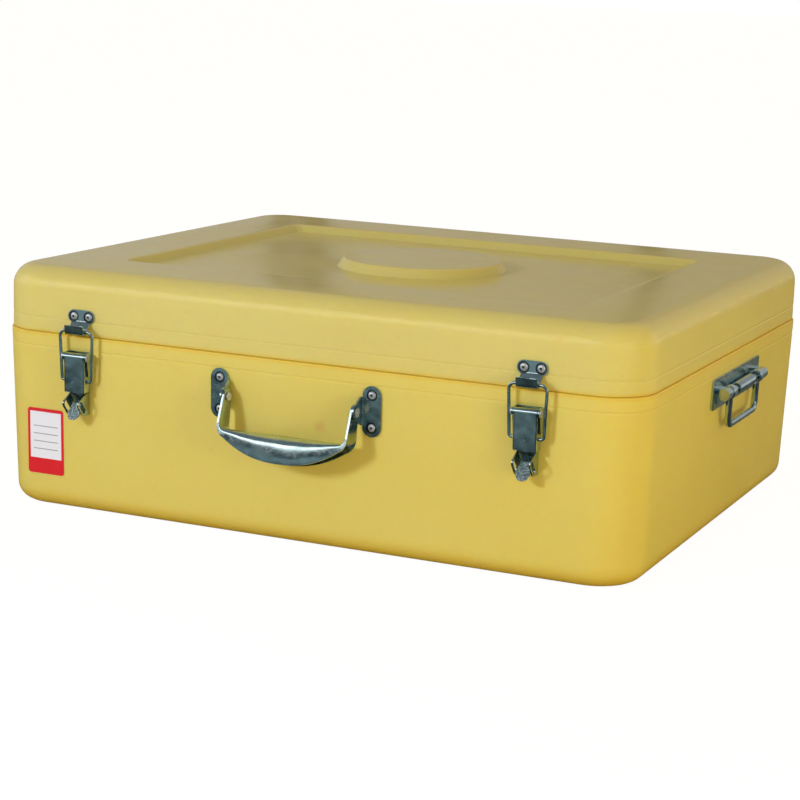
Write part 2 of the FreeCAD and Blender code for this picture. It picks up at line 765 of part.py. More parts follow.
def make_handle_pivot():
    """The left pivot rivet: through the ear and the arm, a domed head inside, a flat tail outside."""
    outer, inner = -(ear_face + bracket_sheet), -(arm_outer - strap - part_clear)
    shank = cylinder(pivot_radius, V(outer, 0, 0), X * (inner - outer))
    tail = cylinder(pivot_head, V(outer, 0, 0), X * -pivot_tail_length)
    tail = round_edges(tail, pivot_tail_round, ring_at(outer - pivot_tail_length))
    head = cylinder(pivot_head, V(inner, 0, 0), X * pivot_head_length)
    head = round_edges(head, pivot_head_round, ring_at(inner + pivot_head_length))
    return fuse(shank, tail, head)


def make_handle_set():
    bracket, pivot = make_bracket(), make_handle_pivot()
    pivot.translate(V(0, -pivot_out, 0))
    height = seam_height - handle_drop
    spots = [(0, -bracket_rivet_half), (0, bracket_rivet_half)]
    for side, name in ((-1, "left"), (1, "right")):
        frame = base_frame(0, side * bracket_x, height)
        here = bracket if side < 0 else bracket.mirror(V(0, 0, 0), X)
        nodes[f"handle_bracket_{name}"] = [placed(here, frame)]
        here = pivot if side < 0 else pivot.mirror(V(0, 0, 0), X)
        nodes[f"handle_pivot_{name}"] = [placed(here, handle_frame)]
        add_rivets("bracket_rivets", frame, spots, bracket_sheet - dimple_depth, -wall_through, base_holes)
    handle = make_carry_handle()
    handle.rotate(V(0, 0, 0), X, -handle_lean)
    handle.translate(V(0, -pivot_out, 0))
    nodes["carry_handle"] = [placed(handle, handle_frame)]
    print("axis carry_handle", handle_frame.multVec(V(0, -pivot_out, 0)))


# End handles
lug_at = side_plate_width / 2 - lug_inset - lug_width / 2
lug_radius = side_pin_radius + lug_sheet
eye_radius = side_pin_radius + eye_wall
side_pin_out = side_sheet + eye_clear + eye_radius
side_handle_half = lug_at - lug_width / 2 - eye_to_lug - eye_width / 2


def make_side_plate():
    half_w, half_h = side_plate_width / 2, side_plate_height / 2
    plate = block(-half_w, half_w, 0, side_sheet, -half_h, half_h)
    plate = round_edges(plate, side_plate_corner, through(side_sheet))
    pieces = [plate]
    for side in (-1, 1):
        start = side * lug_at - lug_width / 2
        pieces.append(cylinder(lug_radius, V(start, -side_pin_out, 0), X * lug_width))
        pieces.append(block(start, start + lug_width, 0, side_pin_out, lug_radius - lug_sheet, lug_radius))
    plate = fuse(*pieces)
    plate = plate.cut(cylinder(side_pin_radius, V(-half_w, -side_pin_out, 0), X * side_plate_width))
    return drilled(plate, [(-side_rivet_half, -side_rivet_drop), (side_rivet_half, -side_rivet_drop)],
                   side_sheet, False)


def make_side_pin():
    length = 2 * lug_at + lug_width
    return cylinder(side_pin_radius, V(-length / 2, -side_pin_out, 0), X * length)


def make_side_handle():
    half = side_handle_half
    axis = V(0, -side_pin_out, 0)
    points = [axis - X * half, axis - X * half - Z * side_handle_depth,
              axis + X * half - Z * side_handle_depth, axis + X * half]
    pieces = [rod(points, [rod_bend, rod_bend], rod_radius)]
    for side in (-1, 1):
        pieces.append(cylinder(eye_radius, axis + X * (side * half - eye_width / 2), X * eye_width))
    handle = fuse(*pieces)
    reach = half + eye_width
    return handle.cut(cylinder(side_pin_radius + running_clear, axis - X * reach, X * (2 * reach)))


def arc_between(start, way, end):
    """The circular arc that leaves a point in a given direction and ends at another point."""
    chord = end - start
    angle = way.getAngle(chord)
    middle = start + chord * 0.5
    bulge = way * (chord.Length / (2 * cos(angle))) - chord * 0.5
    sagitta = chord.Length / 2 * tan(angle / 2)
    return Part.Arc(start, middle + bulge.normalize() * sagitta, end).toShape()


def biarc(start, start_way, end, end_way):
    """Two arcs that join two points, each with its direction."""
    span, sum_way = end - start, start_way + end_way
    spread = 2 * (1 - start_way.dot(end_way))
    reach = span.dot(sum_way)
    length = (sqrt(reach * reach + spread * span.dot(span)) - reach) / spread
    first, second = start + start_way * length, end - end_way * length
    joint = (first + second) * 0.5
    joint_way = (second - first).normalize()
    return [arc_between(start, start_way, joint), arc_between(joint, joint_way, end)]


def make_side_spring():
    """Coil on the pin: one leg stands square on the plate, the other end points along the pin at an eye."""
    radius = side_pin_radius + spring_clear + spring_wire / 2
    length = spring_turns * spring_pitch
    climb = spring_pitch / (2 * pi)

    def place(angle):
        turn = angle - pi / 2
        return V(climb * angle - length / 2, -side_pin_out - radius * cos(turn), radius * sin(turn))

    def way(angle):
        turn = angle - pi / 2
        return V(climb, radius * sin(turn), radius * cos(turn)).normalize()

    first, last = 0.0, 2 * pi * spring_turns
    foot = V(place(first).x, -side_sheet, place(first).z)
    leg_end = V(foot.x, spring_wire - side_pin_out, foot.z)
    edges = [Part.LineSegment(foot, leg_end).toShape()]
    edges += biarc(leg_end, V(0, -1, 0), place(first + pi / 2), way(first + pi / 2))
    quarters = spring_turns * 4
    for quarter in range(1, quarters):
        a, b = quarter * pi / 2, (quarter + 1) * pi / 2
        edges += biarc(place(a), way(a), place(b), way(b))
    eye_face = side_handle_half - eye_width / 2 - part_clear
    out_end = place(last) + V(spring_end_bend, 0, 0) + way(last) * spring_end_bend
    edges += biarc(place(last), way(last), out_end, X)
    edges.append(Part.LineSegment(out_end, V(eye_face, out_end.y, out_end.z)).toShape())
    path = Part.Wire(edges)
    section = Part.Wire(Part.makeCircle(spring_wire / 2, foot, V(0, -1, 0)))
    spring = path.makePipeShell([section], True, False)
    points = path.discretize(Number=spring_turns * spring_samples)
    nearest, furthest = spring_samples * 3 // 4, spring_samples * 5 // 2
    least = min(
        here.distanceToPoint(there)
        for i, here in enumerate(points) for there in points[i + nearest:i + furthest])
    print("spring least gap to itself", round(least - spring_wire, 3))
    wire_volume = pi * (spring_wire / 2) ** 2 * path.Length
    print("spring volume over wire times length", round(spring.Volume / wire_volume, 4))
    return spring


def make_end_sets():
    plate, pin, handle, spring = make_side_plate(), make_side_pin(), make_side_handle(), make_side_spring()
    spots = [(-side_rivet_half, -side_rivet_drop), (side_rivet_half, -side_rivet_drop)]
    for turn, name in ((-90, "left"), (90, "right")):
        along = side_along if turn > 0 else -side_along
        frame = base_frame(turn, along, seam_height - side_drop)
        for kind, shape in (("plate", plate), ("pin", pin), ("handle", handle), ("spring", spring)):
            nodes[f"side_{kind}_{name}"] = [placed(shape, frame)]
        add_rivets("side_plate_rivets", frame, spots, side_sheet, -wall_through, base_holes)
        print("axis side_handle", name, frame.multVec(V(0, -side_pin_out, 0)))


# Label on the front, its top just under the latch
label_low = seam_height - latch_drop - padlock_ear_bottom - label_clear - label_height


def make_label():
    frame = base_frame(0, label_inset - box_width / 2, label_low)
    half = label_width / 2
    label = block(-half, half, 0, label_sheet, 0, label_height)
    label = round_edges(label, label_corner, through(label_sheet))
    return placed(label, frame)


make_hinge(-1, "left")
make_hinge(1, "right")
make_latch(-1, "left")
make_latch(1, "right")
make_handle_set()
make_end_sets()
nodes["front_label"] = [make_label()]
nodes["base_shell"] = [make_base_shell().cut(base_holes)]
nodes["lid_shell"] = [make_lid_shell().cut(lid_holes)]
nodes["lid_seal"] = [rim_ring(seal_inset, seal_width, seam_height + seal_clear, lid_low + seal_depth)]
print("axis lid_hinge", hinge_axis)

os.makedirs("parts", exist_ok=True)
for name, shapes in nodes.items():
    solids = [solid for shape in shapes for solid in shape.Solids]
    shape = solids[0] if len(solids) == 1 else Part.makeCompound(solids)
    shape.exportStep(f"parts/{name}.step")
    print(name, len(solids), round(shape.Volume, 1), shape.isValid())
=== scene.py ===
from math import atan2, cos, pi, radians, sin

import bpy
import numpy as np
from mathutils import Matrix, Vector


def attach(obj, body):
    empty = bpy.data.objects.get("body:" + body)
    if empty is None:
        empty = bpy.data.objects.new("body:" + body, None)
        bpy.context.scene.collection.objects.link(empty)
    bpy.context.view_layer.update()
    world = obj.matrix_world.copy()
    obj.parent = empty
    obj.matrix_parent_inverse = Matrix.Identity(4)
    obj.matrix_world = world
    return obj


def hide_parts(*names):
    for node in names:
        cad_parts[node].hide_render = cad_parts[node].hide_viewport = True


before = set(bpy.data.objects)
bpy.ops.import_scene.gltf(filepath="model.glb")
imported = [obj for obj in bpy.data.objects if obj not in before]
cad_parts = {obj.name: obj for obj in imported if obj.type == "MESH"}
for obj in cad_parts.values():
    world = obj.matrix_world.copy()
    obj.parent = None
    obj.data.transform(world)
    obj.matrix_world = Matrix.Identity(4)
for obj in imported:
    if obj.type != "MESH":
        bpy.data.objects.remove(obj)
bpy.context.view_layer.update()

# Looks of a moulded tool box with steel fittings. Metres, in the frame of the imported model.
MM = 0.001

# Sizes in millimetres, as in the part's source
BOX_X, BOX_Y = 350.0, 300.0
SEAM, LID_LOW, LID_RIM, LID_TOP = 184.0, 184.08, 198.8, 250.0
DRAFT, WALL, RIM_WIDTH, RIM_HEIGHT = 4.9, 5.0, 16.0, 14.0
CORNER, BOTTOM_ROUND, TOP_ROUND, LID_INSET = 50.0, 18.0, 23.0, 1.5
PANEL_X, PANEL_Y, PANEL_SLOPE, PANEL_FLOOR = 254.0, 198.0, 10.0, 242.0
DISC, DISC_SLOPE, DISC_TOP = 92.0, 6.0, 252.0
TILT = atan2(DRAFT, SEAM)
RIM_LINE_LOW, RIM_LINE_HIGH = SEAM - RIM_HEIGHT, LID_RIM
GROOVE_OUTER, GROOVE_INNER, GROOVE_DEPTH = 5.5, 12.5, 4.72


# Meshes
def put_mesh(name, points, faces, body, material, slot, replaces=(), sharp=35.0):
    """A mesh object from an array of points in millimetres and a list of face index arrays, riding a body."""
    mesh = bpy.data.meshes.new(name)
    loops = np.concatenate([f.ravel() for f in faces])
    totals = np.concatenate([np.full(len(f), f.shape[1]) for f in faces])
    starts = np.concatenate([[0], np.cumsum(totals)[:-1]])
    mesh.vertices.add(len(points))
    mesh.vertices.foreach_set("co", (np.asarray(points, float) * MM).astype(np.float32).ravel())
    mesh.loops.add(len(loops))
    mesh.loops.foreach_set("vertex_index", loops.astype(np.int32))
    mesh.polygons.add(len(totals))
    mesh.polygons.foreach_set("loop_start", starts.astype(np.int32))
    mesh.update(calc_edges=True)
    mesh.validate()
    mesh.polygons.foreach_set("use_smooth", np.ones(len(totals), bool))
    mesh.set_sharp_from_angle(angle=radians(sharp))
    mesh.materials.append(material)
    piece = bpy.data.objects.new(name, mesh)
    bpy.context.scene.collection.objects.link(piece)
    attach(piece, body)
    if replaces:
        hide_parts(*replaces)
    return piece


def grid_faces(rows, columns, wrap_rows=False, wrap_columns=True, start=0):
    """Quads between neighbouring rows and columns of a grid of points, wrapped round where asked."""
    i, j = np.meshgrid(np.arange(rows if wrap_rows else rows - 1),
                       np.arange(columns if wrap_columns else columns - 1), indexing="ij")
    k, m = (i + 1) % rows, (j + 1) % columns
    quads = np.stack([i * columns + j, i * columns + m, k * columns + m, k * columns + j], -1)
    return quads.reshape(-1, 4) + start


def cap(first, count, flip=False):
    """One flat face over a closed row of points."""
    ring = np.arange(first, first + count)
    return (ring[::-1] if flip else ring)[None, :]


def merged(parts):
    """Several (points, faces) sets as one."""
    points, faces, start = [], [], 0
    for p, f in parts:
        points.append(p)
        faces += [x + start for x in f]
        start += len(p)
    return np.concatenate(points), faces


# Curves and outlines
def bent_path(points, radii, steps=8):
    """A polyline whose inner corners are arcs: each arc is tangent to both runs, sampled at even angles."""
    points = np.asarray(points, float)
    parts = [points[:1]]
    for before, here, after, radius in zip(points, points[1:], points[2:], radii):
        arrive = (here - before) / np.linalg.norm(here - before)
        leave = (after - here) / np.linalg.norm(after - here)
        turn = np.arccos(np.clip(arrive @ leave, -1, 1))
        side = leave - arrive * (arrive @ leave)
        side /= np.linalg.norm(side)
        begin = here - arrive * radius * np.tan(turn / 2)
        angle = np.linspace(0, turn, steps + 1)[:, None]
        parts.append(begin + radius * (arrive * np.sin(angle) + side * (1 - np.cos(angle))))
    return np.concatenate(parts + [points[-1:]])


SIDE_STEPS, CORNER_STEPS = 28, 14


def outlines(table):
    """Rounded rectangles, one per row of (half x, half y, corner radius, z): four quarter circles and the straight
    runs between them, each at even steps, so that all the rings share their numbering."""
    a, b, r, z = [column[:, None, None] for column in np.asarray(table, float).T]
    parts = []
    quarter = np.linspace(0, pi / 2, CORNER_STEPS + 1)
    share = np.linspace(0, 1, SIDE_STEPS + 1)[1:-1, None]
    signs = ((1, 1), (-1, 1), (-1, -1), (1, -1))
    for k, (sx, sy) in enumerate(signs):
        nx, ny = signs[(k + 1) % 4]
        angle = quarter + k * pi / 2
        turn = np.stack([np.cos(angle), np.sin(angle)], -1)
        middle = np.concatenate([sx * (a - r), sy * (b - r)], -1)
        following = np.concatenate([nx * (a - r), ny * (b - r)], -1) + r * turn[-1]
        arc = middle + r * turn
        parts += [arc, arc[:, -1:] + share * (following - arc[:, -1:])]
    flat = np.concatenate(parts, 1)
    return np.concatenate([flat, np.broadcast_to(z, flat.shape[:2] + (1,))], -1)


def circles(radius_z, like):
    """Circles, one per (radius, z), with each point in the same direction as on a given ring."""
    angle = np.arctan2(like[:, 1], like[:, 0])
    radius, z = [np.asarray(column, float)[:, None] for column in zip(*radius_z)]
    height = np.broadcast_to(z, (len(radius), len(angle)))
    return np.stack([radius * np.cos(angle), radius * np.sin(angle), height], -1)


def ringed(rings):
    """Points and faces of a closed skin through a stack of rings, flat at its two ends."""
    rows, columns = rings.shape[:2]
    last = (rows - 1) * columns
    return rings.reshape(-1, 3), [grid_faces(rows, columns), cap(0, columns, True), cap(last, columns)]


def wall_frame(turn, along, height):
    """Rotation and origin of wall coordinates on the tapered base: x along, -y straight out, z up the wall."""
    half = BOX_Y if turn % 180 == 0 else BOX_X
    c, s = cos(radians(turn)), sin(radians(turn))
    heading = np.array([[c, -s, 0], [s, c, 0], [0, 0, 1]])
    lean = np.array([[1, 0, 0], [0, cos(TILT), -sin(TILT)], [0, sin(TILT), cos(TILT)]])
    origin = heading @ np.array([along, -(half - DRAFT * (SEAM - height) / SEAM), height])
    return heading @ lean, origin


def on_wall(points, placement):
    """Points moved from wall coordinates into the box."""
    rotation, origin = placement
    return points @ rotation.T + origin


def tube(path, radius, across, sides=20):
    """A round tube: at each point of the path a circle in the plane square to the path, its zero angle set by the
    cross product of the path's direction and a fixed vector."""
    ahead = np.gradient(path, axis=0)
    ahead /= np.linalg.norm(ahead, axis=1)[:, None]
    first = np.cross(ahead, np.asarray(across, float))
    first /= np.linalg.norm(first, axis=1)[:, None]
    second = np.cross(ahead, first)
    angle = np.linspace(0, 2 * pi, sides, endpoint=False)
    rings = path[:, None] + radius * (np.cos(angle)[None, :, None] * first[:, None]
                                      + np.sin(angle)[None, :, None] * second[:, None])
    rows = len(path)
    return rings.reshape(-1, 3), [grid_faces(rows, sides), cap(0, sides, True), cap((rows - 1) * sides, sides)]


def turned(profile, centre, axis, start, sides=32):
    """A surface of revolution: a profile of (radius, distance along the axis) carried round the axis. The first and
    last points close on themselves where their radius is zero."""
    axis, start = np.asarray(axis, float), np.asarray(start, float)
    second = np.cross(axis, start)
    angle = np.linspace(0, 2 * pi, sides, endpoint=False)
    spoke = np.cos(angle)[:, None] * start + np.sin(angle)[:, None] * second
    radius, along = np.asarray(profile, float).T
    rings = np.asarray(centre, float) + radius[:, None, None] * spoke[None] + along[:, None, None] * axis
    return rings.reshape(-1, 3), [grid_faces(len(radius), sides)]


# Shells
def make_base_shell(material):
    """The tub: a profile of (way in from the largest outline, height) carried round the rounded rectangle. The
    corner radius shrinks with the way in, apart from the wall's own taper."""
    line = RIM_LINE_LOW
    taper = DRAFT / SEAM
    inner_rim = WALL + taper * RIM_HEIGHT
    points = [
        (40, 0), (DRAFT, 0), (taper * (SEAM - line + 2.4), line - 2.4), (taper * (SEAM - line) + 0.45, line),
        (taper * (SEAM - line - 0.8), line + 0.8), (0, SEAM), (RIM_WIDTH, SEAM), (RIM_WIDTH, SEAM - RIM_HEIGHT),
        (inner_rim, SEAM - RIM_HEIGHT), (WALL + taper * (SEAM - WALL), WALL), (40, WALL),
    ]
    radii = [BOTTOM_ROUND, 2.0, 0.3, 0.5, 1.6, 1.6, 1.2, 2.0, BOTTOM_ROUND - WALL]
    inset, z = bent_path(points, radii).T
    corner = np.maximum(CORNER - inset + taper * (SEAM - z), 3.0)
    rings = outlines(np.stack([BOX_X - inset, BOX_Y - inset, corner, z], -1))
    return put_mesh("tub_skin", *ringed(rings), "base", material, "yellow_plastic", ["base_shell"], sharp=60)


def make_lid_shell(material):
    """The lid: from the middle of the underside out over the boss, the hollow, the rim and its seal groove, up the
    wall, and in over the rounded edge, the sunk panel and the disc, as rings of shared numbering."""
    line = RIM_LINE_HIGH
    ceiling = LID_TOP - WALL
    floor_under = PANEL_FLOOR - WALL
    steep = PANEL_SLOPE / (LID_TOP - PANEL_FLOOR)
    grow = steep * (ceiling - floor_under)
    boss_x, boss_y = PANEL_X - PANEL_SLOPE - 1.25, PANEL_Y - PANEL_SLOPE - 1.25
    boss = bent_path([(-20, floor_under), (0, floor_under), (grow, ceiling), (grow + 20, ceiling)], [3, 3], 4)
    boss = np.stack([boss_x + boss[:, 0], boss_y + boss[:, 0], np.full(len(boss), 6.0), boss[:, 1]], -1)
    inside = LID_INSET + WALL
    points = [
        (inside + 40, ceiling), (inside, ceiling), (inside, LID_RIM), (RIM_WIDTH, LID_RIM), (RIM_WIDTH, LID_LOW),
        (GROOVE_INNER, LID_LOW), (GROOVE_INNER, LID_LOW + GROOVE_DEPTH),
        (GROOVE_OUTER, LID_LOW + GROOVE_DEPTH), (GROOVE_OUTER, LID_LOW), (LID_INSET, LID_LOW),
        (LID_INSET, line - 0.8), (LID_INSET + 0.45, line), (LID_INSET, line + 2.4),
        (LID_INSET, LID_TOP), (70, LID_TOP),
    ]
    radii = [TOP_ROUND - WALL, 2.0, 1.2, 1.6, 0.5, 0.3, 0.3, 0.5, 1.6, 0.5, 0.3, 2.0, TOP_ROUND]
    inset, z = bent_path(points, radii, 10).T
    outer = np.stack([BOX_X - inset, BOX_Y - inset, np.maximum(CORNER - inset, 4.0), z], -1)
    low_x, low_y = PANEL_X - PANEL_SLOPE, PANEL_Y - PANEL_SLOPE
    panel = bent_path([(22, LID_TOP), (PANEL_SLOPE, LID_TOP), (0, PANEL_FLOOR), (-30, PANEL_FLOOR)], [9, 7], 6)
    panel = np.stack([low_x + panel[:, 0], low_y + panel[:, 0], np.full(len(panel), 8.0), panel[:, 1]], -1)
    rings = outlines(np.concatenate([boss, outer, panel]))
    disc = bent_path([(DISC + 25, PANEL_FLOOR), (DISC, PANEL_FLOOR), (DISC - DISC_SLOPE, DISC_TOP),
                      (DISC - DISC_SLOPE - 30, DISC_TOP)], [2.5, 3.5], 6)
    pocket = [(DISC - WALL - DISC_SLOPE, PANEL_FLOOR + 5), (DISC - WALL, floor_under), (DISC + 20, floor_under)]
    rings = np.concatenate([circles(pocket, rings[0]), rings, circles(disc, rings[-1])])
    return put_mesh("lid_skin", *ringed(rings), "lid", material, "yellow_plastic", ["lid_shell"], sharp=60)


# Wire and rod pieces
LATCH_X, LATCH_HEIGHT = 243.5, SEAM - 19.0
BAIL_WIRE, BAIL_FOOT_OUT, BAIL_FOOT_DROP, BAR_OUT, BAR_RISE = 1.7, 8.5, 25.0, 9.0, 26.0
BAIL_HALF, BAIL_TOP_HALF, BAIL_INNER = 17.3, 19.0, 8.1
SIDE_ALONG, SIDE_HEIGHT, SIDE_PIN_OUT = 19.0, SEAM - 33.5, 10.0
SIDE_HALF, SIDE_DEPTH, ROD, PIN = 51.5, 35.5, 3.5, 3.5
EYE, EYE_WIDTH, SIDE_SHEET = 7.0, 12.0, 2.0
SPRING_WIRE, SPRING_TURNS, SPRING_PITCH, SPRING_RADIUS = 1.0, 22, 2.6, 4.9


def make_bails(material):
    """Each bail is a tube along a flat loop with rounded corners, its two feet turned inwards."""
    foot, bar = np.array([0, -BAIL_FOOT_OUT, -BAIL_FOOT_DROP]), np.array([0, -BAR_OUT, BAR_RISE])
    across = np.array([1.0, 0, 0])
    points = [foot - across * BAIL_INNER, foot - across * BAIL_HALF, bar - across * BAIL_TOP_HALF,
              bar + across * BAIL_TOP_HALF, foot + across * BAIL_HALF, foot + across * BAIL_INNER]
    path = bent_path(points, [3, 6, 6, 3], 10)
    loop, faces = tube(path, BAIL_WIRE, (0, 1, 0))
    for side, name in ((-1, "left"), (1, "right")):
        place = wall_frame(0, side * LATCH_X, LATCH_HEIGHT)
        put_mesh(f"bail_wire_{name}", on_wall(loop, place), faces, f"latch_bail_{name}", material, "zinc_steel",
                 [f"latch_bail_{name}"])


def make_side_handles(material):
    """Each end handle is a tube along three straight runs with two bends, and at each end a turned eye with
    rounded rims."""
    axis = np.array([0, -SIDE_PIN_OUT, 0])
    x, down = np.array([1.0, 0, 0]), np.array([0, 0, -1.0])
    path = bent_path([axis - x * SIDE_HALF + down * (EYE - 2), axis - x * SIDE_HALF + down * SIDE_DEPTH,
                      axis + x * SIDE_HALF + down * SIDE_DEPTH, axis + x * SIDE_HALF + down * (EYE - 2)], [9, 9], 12)
    rim = EYE_WIDTH / 2
    bore = PIN + 0.08
    profile = bent_path([(bore, 0), (bore, -rim), (EYE, -rim), (EYE, rim), (bore, rim), (bore, 0)],
                        [1, 1.5, 1.5, 1], 5)
    eyes = [turned(profile, axis + x * (end * SIDE_HALF), (-1, 0, 0), (0, 0, 1)) for end in (-1, 1)]
    points, faces = merged([tube(path, ROD, (0, 1, 0))] + eyes)
    for turn, name in ((-90, "left"), (90, "right")):
        along = SIDE_ALONG if turn > 0 else -SIDE_ALONG
        place = wall_frame(turn, along, SIDE_HEIGHT)
        put_mesh(f"end_handle_{name}", on_wall(points, place), faces, f"side_handle_{name}", material, "zinc_steel",
                 [f"side_handle_{name}"])


def make_springs(material):
    """Each spring is a tube along a leg that stands on the plate, a helix round the pin, and a bend that turns along
    the pin to the eye: x grows with the angle, y and z go round a circle."""
    steps = np.linspace(0, 1, 28 * SPRING_TURNS + 1)
    angle = 2 * pi * SPRING_TURNS * steps
    length = SPRING_TURNS * SPRING_PITCH
    coil = np.stack([length * (steps - 0.5), -SIDE_PIN_OUT - SPRING_RADIUS * np.sin(angle),
                     -SPRING_RADIUS * np.cos(angle)], -1)
    leg = coil[0] + np.linspace(SIDE_PIN_OUT - SIDE_SHEET, 0.6, 10)[:, None] * np.array([0, 1.0, 0])
    out = np.array([0, -1.0, 0])
    bend = bent_path([coil[-1], coil[-1] + out * 3, coil[-1] + out * 3
                      + np.array([SIDE_HALF - EYE_WIDTH / 2 - 0.3 - coil[-1][0], 0, 0])], [2.8], 8)
    points, faces = tube(np.concatenate([leg, coil, bend[1:]]), SPRING_WIRE, (1, 0, 1), 12)
    for turn, name in ((-90, "left"), (90, "right")):
        along = SIDE_ALONG if turn > 0 else -SIDE_ALONG
        place = wall_frame(turn, along, SIDE_HEIGHT)
        put_mesh(f"end_spring_{name}", on_wall(points, place), faces, "base", material, "zinc_steel",
                 [f"side_spring_{name}"])


# Rivets: the middle of each crown and the way it faces, by body
CATCH_X, CATCH_CROWN, CATCH_HEIGHT = (-252.1, -234.9, 234.9, 252.1), -301.0, 204.45
HINGE_X, HINGE_CROWN, HINGE_HIGH, HINGE_LOW, HINGE_LOW_OUT = (-210, -170, 170, 210), 301.5, 214.8, 154.1, 2.94
BRACKET_X, BRACKET_OUT, BRACKET_HEIGHT, BRACKET_RISES = (-82.6, 82.6), 2.74, SEAM - 39.5, (-16.0, 16.0)
END_Y, END_OUT, END_HEIGHT = (47, -9), 3.45, 140.6
MANDREL, MANDREL_TIP = 1.35, 1.0


def wall_spots(turn, out, height, alongs, rises=(0.0,)):
    """Crowns on a tapered wall: their places along it, at a way out from the wall and rises from one height."""
    places = [wall_frame(turn, along, height) for along in alongs]
    return [(on_wall(np.array([0, -out, rise]), place), place[0] @ np.array([0, -1.0, 0]))
            for place in places for rise in rises]


CATCH_SPOTS = [((x, CATCH_CROWN, CATCH_HEIGHT), (0, -1, 0)) for x in CATCH_X]
BRACKET_SPOTS = wall_spots(0, BRACKET_OUT, BRACKET_HEIGHT, BRACKET_X, BRACKET_RISES)
RIVETS = {
    "lid": CATCH_SPOTS + [((x, HINGE_CROWN, HINGE_HIGH), (0, 1, 0)) for x in HINGE_X],
    "base": BRACKET_SPOTS + wall_spots(180, HINGE_LOW_OUT, HINGE_LOW, HINGE_X)
    + wall_spots(90, END_OUT, END_HEIGHT, END_Y) + wall_spots(-90, END_OUT, END_HEIGHT, [-y for y in END_Y]),
}


def make_mandrels(material):
    """The mandrel stub left in each blind rivet is a short turned plug that ends a little under the crown; its
    near-black finish is painted shade in the rivet's hole.
    """
    sides = 20
    profile = [(MANDREL, -1.75), (MANDREL, -0.5), (MANDREL_TIP, -0.3)]
    for body, spots in RIVETS.items():
        plugs = [turned(profile, crown, outward, np.cross(outward, (0, 0, 1)) / np.hypot(*outward[:2]), sides)
                 for crown, outward in spots]
        ends = [cap(0, sides, True), cap(2 * sides, sides)]
        put_mesh(f"mandrel_stubs_{body}", *merged([(points, faces + ends) for points, faces in plugs]), body,
                 material, "rivet_steel")


# Carry handle
HANDLE_HEIGHT, HANDLE_OUT, HANDLE_LEAN = SEAM - 39.5, 12.0, radians(15.5)
ARM_INNER, STRAP, ARM_HALF, GRIP_HALF = 67.7, 2.5, 7.75, 11.0
REACH, GRIP_DEPTH, GRIP_END, GRIP_END_DEPTH, GRIP_FULLNESS = 31.4, 27.6, 65.2, 6.5, 2.3
INNER_BEND, SHOULDER, GRIP_BULGE = 5.5, 9.0, 3.0


def belly(share):
    """How far a skirt stands back from its fullest line at a share of its depth: two parabolas that meet there."""
    above = ((share - 0.45) / 0.45) ** 2
    below = 0.55 * ((share - 0.45) / 0.55) ** 2
    return np.where(share < 0.45, above, below)


def make_carry_handle(material):
    """The handle is one pressed strip: a channel section carried along an arm, a bend, the grip, a bend and an arm.
    The section's half width, skirt depth and shoulder radius change along the way; the skirts are bellied and point
    to the outside of the bends, and the strip's two ends close in a half circle round the pivots."""
    rise = np.linspace(0, 1, 14)
    end = ARM_HALF * np.sin(rise * pi / 2)
    arm_z = np.concatenate([end[::-1], np.linspace(0, INNER_BEND - REACH, 14)[1:-1]])
    turn = np.linspace(0, pi / 2, 15)
    grip_x = np.linspace(INNER_BEND - ARM_INNER, ARM_INNER - INNER_BEND, 61)[1:-1]
    bend_x = -ARM_INNER + INNER_BEND * (1 - np.cos(turn))
    bend_z = -REACH + INNER_BEND * (1 - np.sin(turn))
    arm_x = np.full(len(arm_z), ARM_INNER)
    x = np.concatenate([-arm_x, bend_x, grip_x, -bend_x[::-1], arm_x])
    z = np.concatenate([arm_z, bend_z, np.full(len(grip_x), -REACH), bend_z[::-1], arm_z[::-1]])
    tilt = np.concatenate([np.zeros(len(arm_z)), turn, np.full(len(grip_x), pi / 2), pi - turn[::-1],
                           np.full(len(arm_z), pi)])
    swell = np.clip(1 - (np.abs(x) / GRIP_END) ** GRIP_FULLNESS, 0, 1)
    share = np.clip(np.minimum(tilt, pi - tilt) / (pi / 2), 0, 1)
    ease = share * share * (3 - 2 * share)
    depth = STRAP + (GRIP_END_DEPTH + (GRIP_DEPTH - GRIP_END_DEPTH) * swell - STRAP) * ease
    radius = 0.7 + (STRAP + 0.3 + (SHOULDER - STRAP - 0.3) * swell - 0.7) * ease
    drop = np.clip(-z / (REACH - INNER_BEND), 0, 1)
    half = ARM_HALF + (GRIP_HALF - ARM_HALF) * drop
    half = np.where(z > 0, np.sqrt(np.maximum(ARM_HALF ** 2 - z ** 2, 0.04)), half)
    radius = np.minimum(radius, half * 0.8)
    quarter = np.linspace(0, pi / 2, 9)
    columns = []
    for inset in (0.0, STRAP):
        w, r = half - inset * ease, np.maximum(radius - inset, 0.05)
        w = np.maximum(w, 0.1)
        left = [(-w, inset + r + (depth - inset - r) * k) for k in np.linspace(1, 0, 12)[:-1]]
        left += [(-w + r - r * np.cos(q), inset + r - r * np.sin(q)) for q in quarter]
        left = [(a + GRIP_BULGE * swell * ease * belly(b / depth), b) for a, b in left]
        right = [(-a, b) for a, b in left[::-1]]
        columns.append(left + right)
    loop = columns[1] + columns[0][::-1]
    across = np.stack([a for a, b in loop], -1)
    outward = np.stack([np.minimum(b, depth) for a, b in loop], -1)
    points = np.stack([x[:, None] - np.cos(tilt)[:, None] * outward, across,
                       z[:, None] - np.sin(tilt)[:, None] * outward], -1)
    c, s = cos(HANDLE_LEAN), sin(HANDLE_LEAN)
    leaned = points @ np.array([[1, 0, 0], [0, c, s], [0, -s, c]]).T + np.array([0, -HANDLE_OUT, 0])
    rows, count = points.shape[:2]
    faces = [grid_faces(rows, count), cap(0, count, True), cap((rows - 1) * count, count)]
    place = wall_frame(0, 0, HANDLE_HEIGHT)
    put_mesh("carry_strap", on_wall(leaned.reshape(-1, 3), place), faces, "carry_handle", material, "zinc_steel",
             ["carry_handle"])


